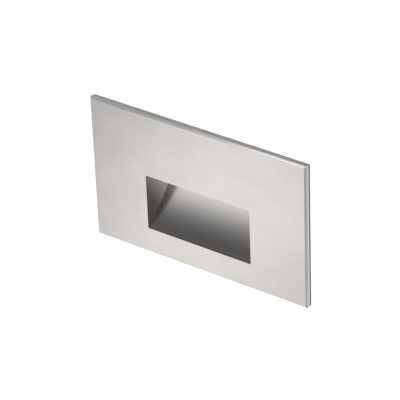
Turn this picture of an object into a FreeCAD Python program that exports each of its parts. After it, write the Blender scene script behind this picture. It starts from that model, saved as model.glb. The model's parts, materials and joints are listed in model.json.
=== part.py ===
import FreeCAD, Part
import math
import os

Vector = FreeCAD.Vector
os.makedirs("parts", exist_ok=True)

# Recessed LED step light for a single-gang box. Millimetres, +Z up. The wall
# is the plane y = 0, the face looks along -Y and the box lies along +Y. The
# origin is midway between the two slots that take the box's screws.

# Clearances
seat_gap = 0.3        # between pieces that only lie side by side
slide_gap = 0.6       # housing in the bracket window
screw_gap = 0.05      # screw shank in its thread
hole_gap = 0.15       # screw shank in a plain hole
cut_over = 1.0        # how far a cutting solid runs past a face
touch = 1e-6          # points closer than this are the same point

# Pan head of a screw, as shares of its own height and radius
pan_side = 0.5
pan_top = 0.7

# Face plate
plate_width = 127.0
plate_height = 79.4
plate_thick = 2.5
plate_skin = 1.2
plate_rim = 3.2
edge_chamfer = 0.9
hanger_rib_length = 60.0
hanger_rib_thick = 1.4
hanger_rib_depth = 2.4
lug_thick = 1.4
lug_height = 20.0
lug_depth = 11.0
lug_corner = 2.5

# Gasket on the wall
gasket_thick = 1.7
gasket_inset = 0.2

# Opening in the face and the reflector scoop behind it
opening_width = 61.8
opening_height = 30.6
opening_to_plate_low = 14.2
scoop_radius = 112.0
scoop_start = math.radians(49.5)
scoop_draft = math.radians(13.5)
scoop_wall = 1.2
scoop_flange = 1.0
scoop_flange_reach = 1.8
scoop_tab_height = 6.2
lintel_thick = 2.4
seat_over_opening = 1.6
seat_rear_land = 2.9
lens_boss_height = 1.4
lens_boss_radius = 1.75

# Lens and what holds it
lens_gasket_thick = 0.8
lens_gasket_land = 1.4
lens_thick = 3.0
lens_corner_cut = 3.2
lens_ground_edge = 0.4
retainer_thick = 1.0
retainer_land = 2.2
lens_screw_inset = 1.9
lens_screw_radius = 0.95
lens_screw_head = 1.7
lens_screw_head_height = 1.3

# LED board under the roof of the housing
chamber_height = 3.1
led_length = 3.5
led_width = 2.8
led_thick = 0.7
led_wall = 0.35
led_cup_depth = 0.3
led_cup_taper = 0.15
led_count = 6
led_end = 9.5
led_board_side = 3.9
led_board_depth = 12.0
led_board_thick = 1.6
led_board_to_plate = 4.0
pad_thick = 0.5
led_screw_inset = 2.6
led_screw_radius = 1.2
led_screw_head = 2.1
led_screw_head_height = 1.5
led_screw_bite = 1.4
tail_width = 12.0

# Housing
housing_wall = 1.6
housing_roof = 2.6
housing_corner = 3.0
housing_floor_room = 3.5
bevel_depth = 6.2
bevel_drop = 4.5
fin_pitch = 6.0
fin_groove = 2.6
fin_groove_depth = 0.8
fin_front = 4.0
clamp_depth = 3.0
clamp_width = 12.0
clamp_place = 14.0
clamp_floor_height = 1.4
clamp_side_height = 2.6
side_screw_radius = 1.2
side_screw_head = 2.2
side_screw_cone = 1.0
side_screw_length = 4.2
side_screw_spacing = 12.0
side_screw_depth = 4.0
post_radius = 2.6
post_inset = 2.3
post_length = 6.7

# Driver board behind the scoop
board_to_seat = 3.2
board_thick = 1.6
board_side_gap = 0.8
board_height = 32.0
board_over_floor = 3.9
board_hole_inset = 3.0
standoff_length = 4.0
standoff_flats = 4.5
standoff_stud_radius = 1.6
standoff_stud_length = 1.2
board_screw_radius = 1.15
board_screw_head = 2.1
board_screw_head_height = 1.5
board_screw_length = 4.0
wire_hole_radius = 4.2
part_spacing = 2.0
capacitor_radius = 4.5
capacitor_length = 12.0
capacitor_round = 0.8
capacitor_crimp = 0.5
capacitor_crimp_place = 2.2
transformer_size = (14.0, 10.0, 12.0)
transformer_flange = 1.6
transformer_leg = 2.6
bobbin_lap = 0.6
winding_gap = 0.8
winding_proud = 1.2
winding_round = 1.6
fuse_radius = 4.0
fuse_length = 8.0
fuse_round = 0.6
rectifier_size = (8.5, 3.2, 6.4)
film_size = (9.0, 6.0, 4.0)
controller_size = (5.0, 1.6, 4.0)
socket_width = 10.0
socket_height = 2.9
socket_depth = 4.0

# Rear cover and cable gland
sheet_thick = 0.4
sheet_hole_gap = 0.9
cover_gasket_thick = 0.8
cover_thick = 2.2
cover_rib_radius = 1.0
cover_rib_height = 0.8
cover_rib_inset = 9.0
cover_rib_end = 6.0
cover_screw_radius = 1.45
cover_screw_head = 2.7
cover_screw_head_height = 2.0
cover_screw_length = 9.0
gland_from_edge = 16.0
gland_height = -5.0
gland_bore = 3.4
gland_mouth = 3.6
gland_thread_radius = 6.0
gland_thread_length = 5.0
gland_collar_flats = 16.0
gland_collar_length = 3.5
gland_neck_radius = 5.6
gland_neck_length = 2.5
gland_cap_radius = 7.4
gland_cap_length = 8.3
gland_cap_skirt = 1.2
gland_cap_nose = 3.0
gland_flutes = 12
gland_flute_radius = 1.1
gland_flute_depth = 0.5
gland_lip = 1.2
gland_seal_radius = 4.6
gland_seal_depth = 1.6
gland_seal_proud = 1.4
hexagon_chamfer = 0.6
locknut_flats = 15.0
locknut_thick = 2.6
ground_from_edge = 13.0
ground_height = -10.0
ground_screw_radius = 1.9
ground_screw_head = 3.4
ground_screw_head_height = 2.0
ground_screw_length = 5.0
ground_washer_radius = 4.4
ground_washer_thick = 0.8

# Bracket on the box
bracket_thick = 1.2
bracket_ear = 7.15
bracket_sill = 4.4
bracket_corner = 3.0
bracket_bend = 1.0
flange_setback = 6.0
slot_web = 1.55
slot_radius = 2.0
slot_length = 6.4

# Set screws in the lower rim
set_screw_inset = 6.0
set_screw_radius = 1.0
set_screw_length = 4.0
set_screw_sunk = 0.2
set_screw_gap = 0.3
set_screw_web = 0.45
set_screw_socket_flats = 0.9
set_screw_socket_depth = 1.2
set_screw_boss_width = 8.0

# Levels along Y, from the face to the rear
plate_rear = -gasket_thick
face_front = plate_rear - plate_thick
pocket_floor = face_front + plate_skin
flange_rear = pocket_floor + scoop_flange

# Levels along Z: the housing's stack of pieces is centred on the origin
lens_stack = seat_over_opening + lens_gasket_thick + lens_thick + retainer_thick
led_stack = chamber_height + led_thick + led_board_thick + pad_thick
housing_height = housing_floor_room + opening_height + lens_stack + led_stack + housing_roof
housing_top = housing_height / 2
housing_low = -housing_top
opening_low = housing_low + housing_floor_room
opening_top = opening_low + opening_height
plate_low = opening_low - opening_to_plate_low
plate_top = plate_low + plate_height
seat_top = opening_top + seat_over_opening
lens_low = seat_top + lens_gasket_thick
lens_top = lens_low + lens_thick
retainer_top = lens_top + retainer_thick
led_low = retainer_top + chamber_height
led_board_low = led_low + led_thick
pad_low = led_board_low + led_board_thick
roof_low = pad_low + pad_thick

# Centre of the scoop's arc, in the YZ plane
arc_y = face_front - scoop_radius * math.sin(scoop_start)
arc_z = opening_low + scoop_radius * math.cos(scoop_start)


def floor_point(angle, offset):
    reach = scoop_radius + offset
    return Vector(0, arc_y + reach * math.sin(angle), arc_z - reach * math.cos(angle))


def floor_angle_at_y(y, offset):
    return math.asin((y - arc_y) / (scoop_radius + offset))


def floor_angle_at_z(z, offset):
    return math.acos((arc_z - z) / (scoop_radius + offset))


def half_opening(y):
    return opening_width / 2 - (y - face_front) * math.tan(scoop_draft)


# Levels along Y behind the scoop
scoop_back = floor_point(floor_angle_at_z(seat_top, scoop_wall), scoop_wall).y
seat_rear = scoop_back + seat_rear_land
board_front = seat_rear + board_to_seat
board_rear = board_front + board_thick
cover_front = board_rear + standoff_length
housing_rear = cover_front - cover_gasket_thick
cover_rear = cover_front + cover_thick

# Half widths from the scoop outwards
scoop_half = opening_width / 2 + scoop_flange_reach
lug_in = scoop_half + seat_gap
lug_out = lug_in + lug_thick
housing_in = lug_out + seat_gap
housing_half = housing_in + housing_wall
window_half = housing_half + slide_gap
tab_half = housing_in - seat_gap

# Housing section
housing_floor = housing_low + housing_wall
bevel_start = housing_rear - bevel_depth
bevel_slope = -bevel_drop / bevel_depth
rear_top = housing_top - bevel_drop
bevel_wall = housing_wall * math.hypot(1, bevel_slope)


def bevel_in(y):
    return housing_top + bevel_slope * (y - bevel_start) - bevel_wall


bevel_knee = bevel_start + (roof_low - housing_top + bevel_wall) / bevel_slope

# Places of screws
lens_screw_x = tab_half - lens_screw_inset
lens_screw_ys = (pocket_floor + lens_screw_inset + seat_gap, seat_rear - lens_screw_inset)
led_board_width = opening_width - 2 * led_board_side
led_pitch = (led_board_width - 2 * led_end) / (led_count - 1)
led_board_front = pocket_floor + led_board_to_plate
led_board_rear = led_board_front + led_board_depth
led_screw_x = led_board_width / 2 - led_screw_inset
led_row_y = (led_board_front + led_board_rear) / 2
lug_mid = opening_low + lug_height / 2 + seat_gap
side_screw_zs = (lug_mid - side_screw_spacing / 2, lug_mid + side_screw_spacing / 2)
post_x = housing_in - post_inset
post_zs = (housing_floor + post_inset, bevel_in(housing_rear) - post_inset - seat_gap)
board_width = 2 * (post_x - post_radius - board_side_gap)
gland_place = (gland_from_edge - board_width / 2, gland_height)
ground_place = (board_width / 2 - ground_from_edge, ground_height)
board_low = housing_floor + board_over_floor
board_top = board_low + board_height
tail_top = led_board_low - seat_gap
board_hole_x = board_width / 2 - board_hole_inset
board_hole_zs = (board_low + board_hole_inset, board_top - board_hole_inset)
sides = {"left": -1, "right": 1}
heights = ("low", "high")

# Bracket and set screws: slots this far apart meet the screw holes of a single-gang box
slot_place = window_half + slot_web + slot_length / 2
bracket_half = slot_place + slot_length / 2 + bracket_ear
flange_half = bracket_half - flange_setback
set_screw_place = flange_half - set_screw_inset
window_top = housing_top + slide_gap
bracket_top = window_top + bracket_sill
bracket_flange_top = bracket_top + bracket_thick
rim_inner_low = plate_low + plate_rim
set_screw_y = -(set_screw_web + set_screw_gap + set_screw_radius)
flange_front = pocket_floor + seat_gap


def block(x0, x1, y0, y1, z0, z1):
    return Part.makeBox(x1 - x0, y1 - y0, z1 - z0, Vector(x0, y0, z0))


def prism(points, sweep):
    return Part.Face(Part.makePolygon(points + points[:1])).extrude(sweep)


def along(solid, direction):
    """Edges of a solid that run along one direction."""
    chosen = []
    for edge in solid.Edges:
        if len(edge.Vertexes) == 2:
            run = edge.Vertexes[1].Point - edge.Vertexes[0].Point
            if run.cross(direction).Length < touch:
                chosen.append(edge)
    return chosen


def rounded_block(x0, x1, y0, y1, z0, z1, radius):
    """A block with its four edges along Y rounded."""
    solid = block(x0, x1, y0, y1, z0, z1)
    return solid.makeFillet(radius, along(solid, Vector(0, 1, 0)))


def turned(profile, base, axis):
    """A solid of revolution from (radius, height) points, standing on base along axis."""
    points = [Vector(radius, 0, height) for radius, height in profile]
    face = Part.Face(Part.makePolygon(points + points[:1]))
    solid = face.revolve(Vector(0, 0, 0), Vector(0, 0, 1), 360)
    solid = Part.Solid(solid) if solid.ShapeType == "Shell" else solid
    turn = FreeCAD.Rotation(Vector(0, 0, 1), axis)
    solid.Placement = FreeCAD.Placement(base, turn)
    return solid


def rod(radius, base, axis, length):
    return Part.makeCylinder(radius, length, base, axis)


def tube(outer, inner, base, axis, length):
    return rod(outer, base, axis, length).cut(rod(inner, base, axis, length))


def stadium(first, second, radius, length):
    """A bar along Y whose outline is two half circles joined by straight sides."""
    sideways = (second - first).normalize().cross(Vector(0, 1, 0)) * radius
    middle = prism([first + sideways, second + sideways, second - sideways, first - sideways],
                   Vector(0, length, 0))
    ends = [rod(radius, point, Vector(0, 1, 0), length) for point in (first, second)]
    return middle.fuse(ends).removeSplitter()


def hexagon(flats, base, length):
    """A hexagonal bar along Y."""
    corner = flats / math.sqrt(3)
    points = []
    for step in range(6):
        angle = math.radians(60 * step)
        points.append(base + Vector(corner * math.cos(angle), 0, corner * math.sin(angle)))
    return prism(points, Vector(0, length, 0))


def chamfered_hexagon(flats, base, length, ends):
    """A hexagonal bar along Y with turned corners at its front, its rear or both."""
    corner = flats / math.sqrt(3)
    front = corner - hexagon_chamfer if "front" in ends else corner
    rear = corner - hexagon_chamfer if "rear" in ends else corner
    blank = turned([(0, 0), (front, 0), (corner, hexagon_chamfer), (corner, length - hexagon_chamfer),
                    (rear, length), (0, length)], base, Vector(0, 1, 0))
    return hexagon(flats, base, length).common(blank)


def pan_screw(base, axis, radius, length, head, head_height):
    """A pan head screw: base is under the head and axis points out of the head."""
    profile = [
        (0, -length), (radius, -length), (radius, 0), (head, 0),
        (head, head_height * pan_side), (head * pan_top, head_height), (0, head_height),
    ]
    return turned(profile, base, axis)


def gland_at(y):
    return Vector(gland_place[0], y, gland_place[1])


def mirrored_pair(solid):
    return solid.fuse(solid.mirror(Vector(0, 0, 0), Vector(1, 0, 0)))


def scoop_section(offset, y_front, z_top):
    """Wire edges of the scoop's curved floor from the front up to a level."""
    first = floor_angle_at_y(y_front, offset)
    last = floor_angle_at_z(z_top, offset)
    ends = [floor_point(angle, offset) for angle in (first, (first + last) / 2, last)]
    return Part.Arc(*ends).toShape(), ends[0], ends[2]


def extruded_section(edges, half):
    face = Part.Face(Part.Wire(edges))
    face.translate(Vector(-half, 0, 0))
    return face.extrude(Vector(2 * half, 0, 0))


def drafted_wedge(side, y_front, y_rear, z_low, z_top):
    """Space between the two cheeks, moved out by side."""
    front = half_opening(y_front) + side
    rear = half_opening(y_rear) + side
    points = [
        Vector(-front, y_front, z_low), Vector(front, y_front, z_low),
        Vector(rear, y_rear, z_low), Vector(-rear, y_rear, z_low),
    ]
    return prism(points, Vector(0, 0, z_top - z_low))


def scoop_void():
    """Air of the recess: curved floor, drafted cheeks, open to the face and to the lens."""
    y_front = face_front - cut_over
    z_top = seat_top + cut_over
    arc, start, end = scoop_section(0, y_front, z_top)
    corners = [
        end, Vector(0, pocket_floor + lintel_thick, z_top),
        Vector(0, pocket_floor + lintel_thick, opening_top), Vector(0, y_front, opening_top), start,
    ]
    edges = [arc]
    for first, second in zip(corners, corners[1:]):
        edges.append(Part.makeLine(first, second))
    section = extruded_section(edges, plate_width / 2)
    return section.common(drafted_wedge(0, y_front, end.y + cut_over, start.z - cut_over, z_top))


def faceplate():
    body = block(-plate_width / 2, plate_width / 2, face_front, plate_rear, plate_low, plate_top)
    front = [e for e in body.Edges if max(abs(v.Y - face_front) for v in e.Vertexes) < touch]
    body = body.makeChamfer(edge_chamfer, front)
    pocket_half = plate_width / 2 - plate_rim
    body = body.cut(block(-pocket_half, pocket_half, pocket_floor, plate_rear + cut_over,
                          rim_inner_low, plate_top - plate_rim))
    rib_low = bracket_flange_top + seat_gap
    body = body.fuse(block(-hanger_rib_length / 2, hanger_rib_length / 2, pocket_floor,
                           pocket_floor + hanger_rib_depth, rib_low, rib_low + hanger_rib_thick))
    lug = block(lug_in, lug_out, pocket_floor, pocket_floor + lug_depth,
                lug_mid - lug_height / 2, lug_mid + lug_height / 2)
    tips = [e for e in along(lug, Vector(1, 0, 0)) if e.Vertexes[0].Y > pocket_floor + lug_corner]
    lug = lug.makeFillet(lug_corner, tips)
    boss = block(set_screw_place - set_screw_boss_width / 2, set_screw_place + set_screw_boss_width / 2,
                 pocket_floor, 0, plate_low, rim_inner_low)
    body = body.fuse([mirrored_pair(lug), mirrored_pair(boss)])
    for z in side_screw_zs:
        start = Vector(0, side_screw_depth, z)
        hole = rod(side_screw_radius + screw_gap, start, Vector(1, 0, 0), housing_half)
        body = body.cut(mirrored_pair(hole))
    hole = rod(set_screw_radius + set_screw_gap, Vector(set_screw_place, set_screw_y, plate_low - cut_over),
               Vector(0, 0, 1), plate_rim + 2 * cut_over)
    return body.cut([mirrored_pair(hole), scoop_void()]).removeSplitter()


def wall_gasket():
    half = plate_width / 2 - gasket_inset
    ring = block(-half, half, plate_rear, 0, plate_low + gasket_inset, plate_top - gasket_inset)
    inner = plate_width / 2 - plate_rim
    ring = ring.cut(block(-inner, inner, plate_rear, 0, rim_inner_low, plate_top - plate_rim))
    drain = set_screw_place + set_screw_boss_width / 2 + seat_gap
    return ring.cut(block(-drain, drain, plate_rear, 0, plate_low, rim_inner_low))


def set_screw(side):
    base = Vector(side * set_screw_place, set_screw_y, plate_low + set_screw_sunk)
    body = rod(set_screw_radius, base, Vector(0, 0, 1), set_screw_length)
    socket = hexagon(set_screw_socket_flats, Vector(0, 0, 0), set_screw_socket_depth)
    socket.Placement = FreeCAD.Placement(base, FreeCAD.Rotation(Vector(0, 1, 0), Vector(0, 0, 1)))
    return body.cut(socket)


def reflector_scoop():
    arc, start, end = scoop_section(scoop_wall, pocket_floor, seat_top)
    corner = Vector(0, pocket_floor, seat_top)
    shell = extruded_section([arc, Part.makeLine(end, corner), Part.makeLine(corner, start)], plate_width / 2)
    side_wall = scoop_wall / math.cos(scoop_draft)
    y_rear = end.y + cut_over
    shell = shell.common(drafted_wedge(side_wall, pocket_floor, y_rear, start.z - cut_over, seat_top))
    flange = block(-scoop_half, scoop_half, pocket_floor, flange_rear, housing_floor + seat_gap, seat_top)
    tabs = block(-tab_half, tab_half, pocket_floor, flange_rear, seat_top - scoop_tab_height, seat_top)
    seat = block(-tab_half, tab_half, pocket_floor, seat_rear, seat_top - scoop_wall, seat_top)
    body = shell.fuse([flange, tabs, seat])
    for y in lens_screw_ys:
        boss = rod(lens_boss_radius, Vector(lens_screw_x, y, seat_top - scoop_wall - lens_boss_height),
                   Vector(0, 0, 1), lens_boss_height + scoop_wall)
        body = body.fuse(mirrored_pair(boss))
    for y in lens_screw_ys:
        hole = rod(lens_screw_radius + screw_gap,
                   Vector(lens_screw_x, y, seat_top - scoop_wall - lens_boss_height - cut_over),
                   Vector(0, 0, 1), lens_boss_height + scoop_wall + 2 * cut_over)
        body = body.cut(mirrored_pair(hole))
    return body.cut(scoop_void()).removeSplitter()


def lens_outline(grow, z_low, thick):
    """A slab with four clipped corners that leaves room for the lens screws."""
    half = lens_screw_x - seat_gap + grow
    y_front = pocket_floor + seat_gap - grow
    y_rear = seat_rear - seat_gap + grow
    cut = lens_corner_cut
    points = [
        Vector(-half + cut, y_front, z_low), Vector(half - cut, y_front, z_low),
        Vector(half, y_front + cut, z_low), Vector(half, y_rear - cut, z_low),
        Vector(half - cut, y_rear, z_low), Vector(-half + cut, y_rear, z_low),
        Vector(-half, y_rear - cut, z_low), Vector(-half, y_front + cut, z_low),
    ]
    return prism(points, Vector(0, 0, thick))


def lens():
    slab = lens_outline(0, lens_low, lens_thick)
    rims = [e for e in slab.Edges if abs(e.Vertexes[0].Z - e.Vertexes[-1].Z) < touch]
    return slab.makeChamfer(lens_ground_edge, rims)


def lens_gasket():
    ring = lens_outline(0, seat_top, lens_gasket_thick)
    return ring.cut(lens_outline(-lens_gasket_land, seat_top, lens_gasket_thick))


def lens_retainer():
    frame = block(-tab_half, tab_half, pocket_floor + seat_gap, seat_rear, lens_top, retainer_top)
    frame = frame.cut(lens_outline(-retainer_land, lens_top, retainer_thick))
    for y in lens_screw_ys:
        start = Vector(lens_screw_x, y, lens_top)
        hole = rod(lens_screw_radius + hole_gap, start, Vector(0, 0, 1), retainer_thick)
        frame = frame.cut(mirrored_pair(hole))
    return frame


def lens_screw(side, y):
    length = retainer_top - seat_top + scoop_wall + lens_boss_height
    return pan_screw(Vector(side * lens_screw_x, y, retainer_top), Vector(0, 0, 1), lens_screw_radius, length,
                     lens_screw_head, lens_screw_head_height)


def led_outline(z_low, thick):
    half = led_board_width / 2
    return block(-half, half, led_board_front, led_board_rear, z_low, z_low + thick)


def led_screw_holes(z_low, thick):
    hole = rod(led_screw_radius + hole_gap, Vector(led_screw_x, led_row_y, z_low), Vector(0, 0, 1), thick)
    return mirrored_pair(hole)


def led_board():
    tail = block(-tail_width / 2, tail_width / 2, led_board_rear, board_front - seat_gap,
                 led_board_low, pad_low)
    board = led_outline(led_board_low, led_board_thick).fuse(tail).removeSplitter()
    return board.cut(led_screw_holes(led_board_low, led_board_thick))


def thermal_pad():
    return led_outline(pad_low, pad_thick).cut(led_screw_holes(pad_low, pad_thick))


def led_package(index):
    """A package whose tapered cup opens downwards."""
    x = (index - (led_count - 1) / 2) * led_pitch
    body = block(x - led_length / 2, x + led_length / 2, led_row_y - led_width / 2,
                 led_row_y + led_width / 2, led_low, led_board_low)
    mouths = []
    for inset, z in ((led_wall, led_low), (led_wall + led_cup_taper, led_low + led_cup_depth)):
        half_x = led_length / 2 - inset
        half_y = led_width / 2 - inset
        corners = [
            Vector(x - half_x, led_row_y - half_y, z), Vector(x + half_x, led_row_y - half_y, z),
            Vector(x + half_x, led_row_y + half_y, z), Vector(x - half_x, led_row_y + half_y, z),
        ]
        mouths.append(Part.makePolygon(corners + corners[:1]))
    return body.cut(Part.makeLoft(mouths, True, True))


def led_screw(side):
    length = led_board_thick + pad_thick + led_screw_bite
    return pan_screw(Vector(side * led_screw_x, led_row_y, led_board_low), Vector(0, 0, -1), led_screw_radius,
                     length, led_screw_head, led_screw_head_height)


def side_screw_profile(grow):
    return [
        (0, -side_screw_length), (side_screw_radius + grow, -side_screw_length),
        (side_screw_radius + grow, -side_screw_cone), (side_screw_head + grow, 0), (0, 0),
    ]


def side_screw(side, z):
    return turned(side_screw_profile(0), Vector(side * housing_half, side_screw_depth, z), Vector(side, 0, 0))


def housing_shell():
    outer = rounded_block(-housing_half, housing_half, flange_rear, housing_rear,
                          housing_low, housing_top, housing_corner)
    section = [
        Vector(-housing_half, flange_rear, housing_low), Vector(-housing_half, housing_rear, housing_low),
        Vector(-housing_half, housing_rear, rear_top), Vector(-housing_half, bevel_start, housing_top),
        Vector(-housing_half, flange_rear, housing_top),
    ]
    outer = outer.common(prism(section, Vector(2 * housing_half, 0, 0)))
    y_front = flange_rear - cut_over
    y_rear = housing_rear + cut_over
    room = rounded_block(-housing_in, housing_in, y_front, y_rear, housing_floor, roof_low,
                         housing_corner - housing_wall)
    section = [
        Vector(-housing_in, y_front, housing_floor), Vector(-housing_in, y_rear, housing_floor),
        Vector(-housing_in, y_rear, bevel_in(y_rear)), Vector(-housing_in, bevel_knee, roof_low),
        Vector(-housing_in, y_front, roof_low),
    ]
    return outer.cut(room.common(prism(section, Vector(2 * housing_in, 0, 0))))


def cooling_grooves():
    """Grooves along the roof, which leave fins between them."""
    count = int((2 * (housing_half - housing_corner) - fin_groove) / fin_pitch) + 1
    grooves = []
    for index in range(count):
        x = (index - (count - 1) / 2) * fin_pitch
        grooves.append(block(x - fin_groove / 2, x + fin_groove / 2, fin_front, housing_rear,
                             housing_top - fin_groove_depth, housing_top + cut_over))
    return grooves


def housing():
    body = housing_shell().cut(cooling_grooves())
    added = []
    floor_clamp = block(clamp_place - clamp_width / 2, clamp_place + clamp_width / 2, flange_rear,
                        flange_rear + clamp_depth, housing_floor, housing_floor + clamp_floor_height)
    tab_low = seat_top - scoop_tab_height
    side_clamp = block(lug_in, housing_in, flange_rear, flange_rear + clamp_depth,
                       tab_low + seat_gap, tab_low + seat_gap + clamp_side_height)
    added += [mirrored_pair(floor_clamp), mirrored_pair(side_clamp)]
    for z in post_zs:
        post_front = housing_rear - post_length
        post = rod(post_radius, Vector(post_x, post_front, z), Vector(0, 1, 0), post_length)
        web = block(post_x, housing_in, post_front, housing_rear, z - post_radius, z + post_radius)
        added.append(mirrored_pair(post.fuse(web)))
    body = body.fuse(added)
    holes = []
    for z in post_zs:
        start = Vector(post_x, housing_rear - post_length, z)
        holes.append(mirrored_pair(rod(cover_screw_radius + screw_gap, start, Vector(0, 1, 0), post_length)))
    for z in side_screw_zs:
        seat = Vector(housing_half, side_screw_depth, z)
        holes.append(mirrored_pair(turned(side_screw_profile(screw_gap), seat, Vector(1, 0, 0))))
    bite = rod(led_screw_radius + screw_gap, Vector(led_screw_x, led_row_y, roof_low), Vector(0, 0, 1),
               led_screw_bite + screw_gap)
    holes.append(mirrored_pair(bite))
    return body.cut(holes).removeSplitter()


def housing_gasket():
    ring = rounded_block(-housing_half, housing_half, pocket_floor, flange_rear, housing_low, housing_top,
                         housing_corner)
    return ring.cut(rounded_block(-housing_in, housing_in, pocket_floor, flange_rear, housing_floor, roof_low,
                                  housing_corner - housing_wall))


def board_screw_places():
    return [(side * board_hole_x, z) for side in sides.values() for z in board_hole_zs]


def driver_board():
    half = board_width / 2
    board = block(-half, half, board_front, board_rear, board_low, board_top)
    tail = block(-tail_width / 2, tail_width / 2, board_front, board_rear, board_top, tail_top)
    board = board.fuse(tail).removeSplitter()
    for x, z in board_screw_places():
        start = Vector(x, board_front, z)
        board = board.cut(rod(board_screw_radius + hole_gap, start, Vector(0, 1, 0), board_thick))
    return board.cut(rod(wire_hole_radius, gland_at(board_front), Vector(0, 1, 0), board_thick))


def standoff(x, z):
    body = hexagon(standoff_flats, Vector(x, board_rear, z), standoff_length)
    along_y = Vector(0, 1, 0)
    stud = rod(standoff_stud_radius, Vector(x, cover_front, z), along_y, standoff_stud_length)
    bore = rod(board_screw_radius + screw_gap, Vector(x, board_rear, z), along_y, board_screw_length)
    return body.fuse(stud).cut(bore)


def board_screw(x, z):
    return pan_screw(Vector(x, board_front, z), Vector(0, -1, 0), board_screw_radius, board_screw_length,
                     board_screw_head, board_screw_head_height)


def on_board(size, x_low, z_low):
    """A boxed component standing on the front of the driver board."""
    return block(x_low, x_low + size[0], board_front - size[1], board_front, z_low, z_low + size[2])


def capacitor():
    """A can on its side, rolled in near one end to hold its plug."""
    x_low = gland_place[0] - capacitor_length / 2 - part_spacing
    z = board_low + capacitor_radius + seat_gap
    start = Vector(x_low, board_front - capacitor_radius, z)
    body = rod(capacitor_radius, start, Vector(1, 0, 0), capacitor_length)
    body = body.makeFillet(capacitor_round, [edge for edge in body.Edges if edge.Closed])
    crimp = Part.makeTorus(capacitor_radius, capacitor_crimp, start + Vector(capacitor_crimp_place, 0, 0),
                           Vector(1, 0, 0))
    return body.cut(crimp)


def transformer():
    """A frame-shaped core, a rounded winding that stands proud of it and a bobbin on the board."""
    width, depth, height = transformer_size
    x_low = gland_place[0] + wire_hole_radius + part_spacing
    z_low = board_low + seat_gap
    window = (x_low + transformer_leg, x_low + width - transformer_leg)
    yokes = (z_low + transformer_leg, z_low + height - transformer_leg)
    front = board_front - depth
    rear = board_front - transformer_flange
    core = block(x_low, x_low + width, front + winding_proud, rear, z_low, z_low + height)
    core = core.cut(block(*window, front, rear, *yokes))
    winding = block(window[0] + winding_gap, window[1] - winding_gap, front, rear, *yokes)
    corners = [e for e in along(winding, Vector(0, 0, 1)) if e.Vertexes[0].Y < front + touch]
    winding = winding.makeFillet(winding_round, corners)
    bobbin = block(window[0] - bobbin_lap, window[1] + bobbin_lap, rear, board_front, z_low, z_low + height)
    return core.fuse([winding, bobbin]).removeSplitter()


def fuse():
    x = board_hole_x - board_screw_head - fuse_radius - 2 * seat_gap
    z = board_low + fuse_radius + seat_gap
    body = rod(fuse_radius, Vector(x, board_front - fuse_length, z), Vector(0, 1, 0), fuse_length)
    rim = [edge for edge in body.Edges if edge.Closed and edge.Vertexes[0].Y < board_front - fuse_length / 2]
    return body.makeFillet(fuse_round, rim)


def rectifier():
    return on_board(rectifier_size, ground_place[0] - rectifier_size[0] / 2, gland_place[1])


def film_capacitor():
    return on_board(film_size, -board_hole_x, gland_place[1] + wire_hole_radius + part_spacing)


def controller():
    z_low = board_top - 2 * board_hole_inset - controller_size[2]
    return on_board(controller_size, -controller_size[0] / 2, z_low)


def link_socket():
    z_low = led_board_low - socket_height
    return on_board((socket_width, socket_depth, socket_height), -socket_width / 2, z_low)


def insulating_sheet():
    half = board_width / 2
    y_low = cover_front - sheet_thick
    sheet = block(-half, half, y_low, cover_front, board_low, board_top)
    notch = board_hole_inset + standoff_flats / math.sqrt(3) + sheet_hole_gap
    for z_low in (board_low, board_top - notch):
        sheet = sheet.cut(mirrored_pair(block(half - notch, half, y_low, cover_front, z_low, z_low + notch)))
    for place, radius in ((gland_place, locknut_flats / math.sqrt(3)), (ground_place, ground_screw_radius)):
        hole = rod(radius + sheet_hole_gap, Vector(place[0], y_low, place[1]), Vector(0, 1, 0), sheet_thick)
        sheet = sheet.cut(hole)
    return sheet


def cover_outline(y_low, y_high):
    return rounded_block(-housing_half, housing_half, y_low, y_high, housing_low, rear_top, housing_corner)


def cover_gasket():
    opening = rounded_block(-housing_in, housing_in, housing_rear, cover_front, housing_floor,
                            bevel_in(housing_rear), housing_corner - housing_wall)
    ring = cover_outline(housing_rear, cover_front).cut(opening)
    for z in post_zs:
        pad = rod(post_radius, Vector(post_x, housing_rear, z), Vector(0, 1, 0), cover_gasket_thick)
        web = block(post_x, housing_in, housing_rear, cover_front, z - post_radius, z + post_radius)
        ring = ring.fuse(mirrored_pair(pad.fuse(web)))
    for z in post_zs:
        start = Vector(post_x, housing_rear, z)
        hole = rod(cover_screw_radius + hole_gap, start, Vector(0, 1, 0), cover_gasket_thick)
        ring = ring.cut(mirrored_pair(hole))
    return ring.removeSplitter()


def rear_cover():
    plate = cover_outline(cover_front, cover_rear)
    rear_rim = [e for e in plate.Edges if min(v.Y for v in e.Vertexes) > cover_rear - touch]
    plate = plate.makeChamfer(edge_chamfer, rear_rim)
    rib_x = housing_half - cover_rib_inset
    rib = stadium(Vector(rib_x, cover_rear, housing_low + cover_rib_end),
                  Vector(rib_x, cover_rear, rear_top - cover_rib_end), cover_rib_radius, cover_rib_height)
    plate = plate.fuse(mirrored_pair(rib))
    for z in post_zs:
        start = Vector(post_x, cover_front, z)
        hole = rod(cover_screw_radius + hole_gap, start, Vector(0, 1, 0), cover_thick)
        plate = plate.cut(mirrored_pair(hole))
    for x, z in board_screw_places():
        socket = rod(standoff_stud_radius + screw_gap, Vector(x, cover_front, z), Vector(0, 1, 0),
                     standoff_stud_length + screw_gap)
        plate = plate.cut(socket)
    for place, radius in ((gland_place, gland_thread_radius), (ground_place, ground_screw_radius)):
        hole = rod(radius + screw_gap, Vector(place[0], cover_front, place[1]), Vector(0, 1, 0), cover_thick)
        plate = plate.cut(hole)
    return plate


def cover_screw(side, z):
    return pan_screw(Vector(side * post_x, cover_rear, z), Vector(0, 1, 0), cover_screw_radius,
                     cover_screw_length, cover_screw_head, cover_screw_head_height)


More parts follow.
